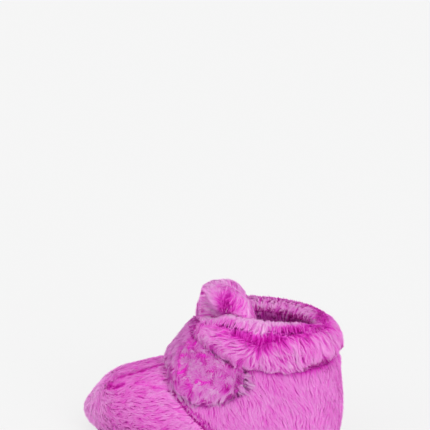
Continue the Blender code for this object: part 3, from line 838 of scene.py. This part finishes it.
def grow_cuff(pile):
    """Long pile of the cuff, parted along its crown: up over the rim, and down over the lip."""
    turf = bare_turf("cuff", 0.31 * MM, pile.cuff, 31, ("upper",))
    x, y, z = (turf.roots / MM).T
    upright = turf.normals[:, 2]
    away, distance = off_line(turf.roots, mm(CUFF_PARTING))
    inward = unit(np.stack((30 - x, -y, np.zeros_like(x)), axis=1))
    inside = dot(turf.normals, inward)[:, 0] > 0.15
    over = (away[:, 2] > 0) | inside
    # Inside the pile falls, over the parting it rises to the opening, and below it hangs.
    up = inward * 0.9 + np.array([0, 0, 0.8])
    outside = np.where(over[:, None], up, (0.25, 0.0, -1.0))
    turf.comb(np.where(inside[:, None], (0.0, 0.0, -1.0), outside))
    turf.comb(away, 0.6 * hump(distance, 4.0 * MM, 1))
    turf.brush(CUFF_STROKES, 4.0, 0.92 * (~over))
    turf.swirl(14 * MM, 0.12, 32)
    turf.swirl(5 * MM, 0.18, 33)
    near_side = fade(y, 4, -10)
    crest = fade(upright, 0.25, 0.75) * over
    parted = hump(distance, np.where(over, 3.0 * MM, 2.0 * MM), 3)
    parted *= 0.35 + 0.65 * fade(x, 14, 26)
    # The padding is thickest along the near crown and thin at the heel.
    heel = fade(x, 48, 57)
    raised = fade(upright, -0.15, 0.75) * fade(x, 2, 14)
    turf.lift((1.2 + 3.9 * near_side) * MM * raised * (1 - 0.75 * heel))
    turf.lift(0.5 * MM * heel * fade(z, 56, 60) * fade(z, 66, 63) * ~inside)
    turf.top -= 2.0 * MM * heel * fade(z, 57, 53)
    turf.stand = np.maximum(0.85 * parted, 0.85 * crest)
    turf.swirl(3.0 * MM, 0.35, 35, crest)
    # Painted shade darkens the parting, painted highlight pales the crest, most on the near side, and
    # painted shade darkens the inner side again where it turns down.
    turf.sink(parted, 0.48, 0.3 * MM)
    low = inside * fade(upright, 0.75, 0.25)
    turf.shade += (0.14 + 0.14 * near_side) * crest * (1 - parted) * (1 - low) - 0.36 * low
    turf.shade += 0.04 * Waves(8 * MM, 34).at(turf.roots)
    # Painted shade where the cuff's lip meets the upper and the strap.
    turf.tuck(("upper", "strap"), 1.6 * MM, 0.7, 0.5)
    # The front end and the inner side may lie over the strap and the upper.
    turf.loose = inside | (x < 22)
    turf.length *= 1 + 0.4 * inside
    # Crest, parting and inner side have short tufts, the rest has long locks.
    band = parted * ~inside
    tufts = np.maximum(np.maximum(crest, band), inside)
    turf.plain = tufts
    turf.gather(CUFF_LOCKS)
    turf.plain = 1 - tufts
    turf.gather(CUFF_TUFTS, 0.16 * band)
    return turf.wisps("cuff_pile", pile.wisp, 0.9 * pile.backing, ("cuff",), ("upper", "strap"))


def grow_tongue(pile):
    """Long pile of the tongue's crown, which stands out all round from a whorl near its middle."""
    turf = bare_turf("tongue", 0.34 * MM, pile.tongue, 41, ("upper", "cuff", "strap"))
    # Below the strap's top edge the tongue is hidden.
    turf.keep(turf.roots[:, 2] > 46 * MM)
    x, y, z = (turf.roots / MM).T
    outer = unit(np.stack((x - 18, y, np.zeros_like(x)), axis=1))
    turf.comb(outer * 0.4 + np.array([0, 0, 1.0]))
    whorl = turf.roots - mm(TONGUE_WHORL)
    ring = np.linalg.norm(whorl, axis=1)
    turf.comb(whorl, 0.8 * hump(ring, 9 * MM))
    turf.brush(TONGUE_STROKES, 4.0, 0.9)
    turf.swirl(7 * MM, 0.25, 42)
    # The whorl's core stands up and is darkened as painted shade.
    core = hump(ring, 5.6 * MM, 3)
    turf.stand = 0.9 * core
    turf.sink(core, 0.42, 0.0)
    # Away from the core the crown is paler, and paler still towards its top as painted light.
    turf.shade += (0.10 + 0.08 * fade(z, 76, 81)) * (1 - core)
    # The rear edge of the crown is full and stands up over the cuff.
    turf.lift(2.2 * MM * fade(x, 2, 11) * fade(z, 70, 76))
    turf.comb((0.25, 0.0, 1.0), 0.85 * fade(x, 6, 11) * fade(z, 70, 76))
    turf.top += 0.4 * MM * fade(z, 76, 80)
    turf.lift(0.7 * MM * fade(x, -3, -7) * fade(z, 70, 67))
    turf.top -= 0.9 * MM * fade(x, 4, -4) * fade(z, 66, 74)
    turf.shade += 0.06 * Waves(6 * MM, 43).at(turf.roots)
    # Painted shade where the crown goes in under the cuff.
    turf.tuck(("cuff",), 2.0 * MM, 0.6, 0.3)
    turf.plain = core
    turf.gather(TONGUE_LOCKS)
    turf.plain = 1 - core
    turf.gather(TONGUE_TUFTS)
    return turf.wisps("tongue_pile", pile.wisp, 0.9 * pile.backing, ("tongue",))


def grow_strap(pile):
    """Disturbed pile of the strap: tufts that fall away from wandering clefts."""
    turf = bare_turf("strap", 0.26 * MM, pile.strap, 51, ("upper", "cuff", "tongue"))
    # The face that lies on the shoe has no pile.
    outward = unit(turf.roots * np.array([0, 1, 1]) - np.array([0, 0, 32 * MM]))
    turf.keep(dot(turf.normals, outward)[:, 0] > -0.15)
    x, y, z = (turf.roots / MM).T
    turf.comb((-0.6, 0.0, -0.8))
    # On the patch the tufts fall away from the clefts, where a wandering field is 0.
    swirls = Waves(11 * MM, 52)
    value = swirls.at(turf.roots)
    patch = fade(y, -11, -17) * fade(x, -16, -10) * fade(x, 20, 16) * fade(z, 33, 37)
    slope = swirls.slope(turf.roots) * np.sign(value)[:, None]
    turf.comb(slope, 0.55 * patch)
    turf.brush(STRAP_STROKES, 3.0, 0.9 * (1 - 0.6 * patch))
    turf.swirl(5 * MM, 0.35, 53)
    turf.swirl(2.5 * MM, 0.35, 55, patch)
    # The clefts sink, with painted shade in them.
    turf.sink(hump(value, 0.16) * patch, 0.45, 0.9 * MM)
    for depth, reach, line in STRAP_CLEFTS:
        turf.crease(line, depth, reach)
    turf.shade += 0.16 * Waves(4.0 * MM, 54).at(turf.roots) * (0.25 + 0.75 * patch)
    turf.shade += 0.02 - 0.12 * patch
    # Painted shade where the strap's edges meet the upper.
    turf.tuck(("upper",), 0.9 * MM, 0.6, 0.4)
    rear_end = fade(x, 17, 21)
    turf.comb((1.0, 0.0, -0.35), 0.85 * rear_end)
    turf.shade += 0.12 * rear_end
    # Long locks hang along the lower edge.
    hung = fade(z, 37, 32) * fade(y, -12, -18) * fade(x, 16, 12)
    turf.plain = 1 - hung
    turf.gather(STRAP_HUNG)
    turf.plain = hung
    turf.gather(STRAP_TUFTS, 0.20 * patch)
    turf.loose[:] = True
    return turf.wisps("strap_pile", pile.wisp, 1.4 * MM, ("strap",), ("upper",))


def grow_lining(pile):
    """Short pile inside the upper, combed down to the footbed."""
    turf = bare_turf("upper", 0.50 * MM, pile.lining, 61, ("tongue", "cuff"))
    turf.keep(meets(turf.roots, turf.normals, ("upper", "insole"), 0.5 * MM, ACROSS_SHOE))
    turf.comb((0.15, 0.0, -1.0))
    turf.swirl(10 * MM, 0.3, 62)
    # Painted shade: the pile inside the shoe is darker.
    turf.shade -= 0.45
    turf.gather(LINING_LOCKS)
    return turf.wisps("lining_pile", 1.4 * pile.wisp, 0.8 * pile.backing, ("upper",))


def grow_footbed(pile):
    """Short pile on the footbed, combed towards the heel."""
    turf = bare_turf("insole", 0.55 * MM, pile.lining, 71)
    turf.keep(turf.normals[:, 2] > 0.5)
    turf.comb((1.0, 0.1, 0.0))
    turf.swirl(10 * MM, 0.5, 72)
    # Painted shade: the pile on the footbed is darker.
    turf.shade -= 0.45
    turf.gather(LINING_LOCKS)
    return turf.wisps("footbed_pile", 1.4 * pile.wisp, 0.5 * pile.backing, ("insole",))


class BOOTIE_OT_backings(Operator):
    """Make the padded backings of upper, cuff, tongue and strap"""

    bl_idname = "bootie.backings"
    bl_label = "Backings"

    def execute(self, context):
        inset = context.scene.bootie_pile.backing
        ground = backing_material("plush_ground")
        rows = (("upper_backing", "upper", inset), ("cuff_backing", "cuff", 0.9 * inset),
                ("tongue_backing", "tongue", 0.9 * inset), ("strap_backing", "strap", 0.22 * inset))
        for name, node, depth in rows:
            piece = place_piece(soft_copy(name, node, depth, ground), "plush", node)
        return {"FINISHED"}


class BOOTIE_OT_sole(Operator):
    """Make the soft woven sole and the footbed"""

    bl_idname = "bootie.sole"
    bl_label = "Sole and footbed"

    def execute(self, context):
        sole = soft_copy("sole", "outsole", 0.0, sole_material("woven_sole"))
        place_piece(sole, "sole_fabric", "outsole")
        bed = soft_copy("footbed_backing", "insole", 0.5 * MM, backing_material("footbed_ground"))
        place_piece(bed, "lining", "insole")
        return {"FINISHED"}


class BOOTIE_OT_upper_pile(Operator):
    """Grow the pile on the toe and round the heel"""

    bl_idname = "bootie.upper_pile"
    bl_label = "Pile on the upper"

    def execute(self, context):
        pile = context.scene.bootie_pile
        material = pile_material("upper_plush")
        for grow in (grow_vamp, grow_quarters):
            piece = place_piece(grow(pile), "plush")
            piece.data.materials.append(material)
        return {"FINISHED"}


class BOOTIE_OT_trim_pile(Operator):
    """Grow the long pile on cuff, tongue and strap"""

    bl_idname = "bootie.trim_pile"
    bl_label = "Pile on cuff, tongue and strap"

    def execute(self, context):
        pile = context.scene.bootie_pile
        long_plush = pile_material("long_plush")
        rows = ((grow_cuff, long_plush), (grow_tongue, long_plush),
                (grow_strap, pile_material("strap_plush", STRAP_TONE)))
        for grow, material in rows:
            piece = place_piece(grow(pile), "plush")
            piece.data.materials.append(material)
        return {"FINISHED"}


class BOOTIE_OT_lining_pile(Operator):
    """Grow the short pile inside the shoe"""

    bl_idname = "bootie.lining_pile"
    bl_label = "Pile inside"

    def execute(self, context):
        pile = context.scene.bootie_pile
        material = pile_material("lining_plush")
        for grow in (grow_lining, grow_footbed):
            piece = place_piece(grow(pile), "lining")
            piece.data.materials.append(material)
        return {"FINISHED"}


def direction(azimuth, elevation):
    """The way from the shoe to something seen at an azimuth and elevation in degrees."""
    a = math.radians(azimuth)
    e = math.radians(elevation)
    return Vector((math.sin(a) * math.cos(e), -math.cos(a) * math.cos(e), math.sin(e)))


def add_sun(name, azimuth, elevation, strength, spread):
    """A broad soft light that shines at the shoe from a direction given in degrees."""
    bpy.ops.object.light_add(type="SUN")
    lamp = bpy.context.object
    lamp.name = name
    way = direction(azimuth, elevation)
    lamp.location = way * LAMP_DISTANCE
    lamp.rotation_euler = way.to_track_quat("Z", "Y").to_euler()
    lamp.data.energy = strength
    lamp.data.angle = math.radians(spread)


class BOOTIE_OT_studio(Operator):
    """Make the floor, the lights and the camera"""

    bl_idname = "bootie.studio"
    bl_label = "Studio"

    def execute(self, context):
        self.add_floor(context)
        self.add_world(context)
        add_sun("key", azimuth=40, elevation=28, strength=1.6, spread=40)
        add_sun("fill", azimuth=-40, elevation=20, strength=0.55, spread=60)
        context.scene.view_settings.view_transform = "Standard"
        self.add_camera(context)
        return {"FINISHED"}

    def add_floor(self, context):
        """A plain pale floor that glows a little, so that it looks even."""
        bpy.ops.object.select_all(action="DESELECT")
        bpy.ops.mesh.primitive_circle_add(vertices=96, radius=FLOOR_RADIUS, fill_type="NGON")
        floor = context.object
        floor.name = "floor"
        material = Paint("studio_floor").surface(
            Base_Color=rgba(context.scene.bootie_colours.floor), Roughness=1.0,
            Specular_IOR_Level=0.0, Emission_Color=(1, 1, 1, 1), Emission_Strength=FLOOR_GLOW)
        floor.data.materials.append(material)

    def add_world(self, context):
        """Even white light from all round."""
        world = bpy.data.worlds.new("studio")
        world.use_nodes = True
        background = world.node_tree.nodes["Background"]
        background.inputs["Color"].default_value = (1, 1, 1, 1)
        background.inputs["Strength"].default_value = WORLD_STRENGTH
        context.scene.world = world

    def add_camera(self, context):
        """A long lens at the photograph's angle, aimed above the shoe."""
        back = direction(CAMERA_AZIMUTH, CAMERA_ELEVATION)
        a = math.radians(CAMERA_AZIMUTH)
        right = Vector((math.cos(a), math.sin(a), 0))
        up = back.cross(right)
        bpy.ops.object.camera_add()
        camera = context.object
        camera.name = "camera"
        camera.location = right * LOOK_RIGHT + up * LOOK_UP + back * CAMERA_DISTANCE
        camera.rotation_euler = back.to_track_quat("Z", "Y").to_euler()
        camera.data.sensor_width = SENSOR
        camera.data.lens = SENSOR * CAMERA_DISTANCE / PICTURE_WIDTH
        camera.data.clip_end = 100
        context.scene.camera = camera


class BOOTIE_PT_sidebar(Panel):
    """The bootie's steps and sizes in the sidebar"""

    bl_idname = "BOOTIE_PT_sidebar"
    bl_label = "Plush Bootie"
    bl_space_type = "VIEW_3D"
    bl_region_type = "UI"
    bl_category = "Bootie"

    def draw(self, context):
        for step in STEPS:
            self.layout.operator(step.bl_idname)
        for group in (context.scene.bootie_pile, context.scene.bootie_colours):
            for name in group.bl_rna.properties.keys():
                if name not in ("rna_type", "name"):
                    self.layout.prop(group, name)


STEPS = (BOOTIE_OT_backings, BOOTIE_OT_sole, BOOTIE_OT_upper_pile, BOOTIE_OT_trim_pile,
         BOOTIE_OT_lining_pile, BOOTIE_OT_studio)
CLASSES = (BootiePile, BootieColours) + STEPS + (BOOTIE_PT_sidebar,)


def register():
    """Add the classes and the scene's own sizes and colours."""
    for cls in CLASSES:
        bpy.utils.register_class(cls)
    bpy.types.Scene.bootie_pile = PointerProperty(type=BootiePile)
    bpy.types.Scene.bootie_colours = PointerProperty(type=BootieColours)


def unregister():
    """Take out what register added."""
    del bpy.types.Scene.bootie_pile
    del bpy.types.Scene.bootie_colours
    for cls in reversed(CLASSES):
        bpy.utils.unregister_class(cls)


def main():
    """Dress the shoe step by step."""
    register()
    bpy.ops.bootie.backings()
    bpy.ops.bootie.sole()
    bpy.ops.bootie.upper_pile()
    bpy.ops.bootie.trim_pile()
    bpy.ops.bootie.lining_pile()
    bpy.ops.bootie.studio()


if __name__ == "__main__":
    main()
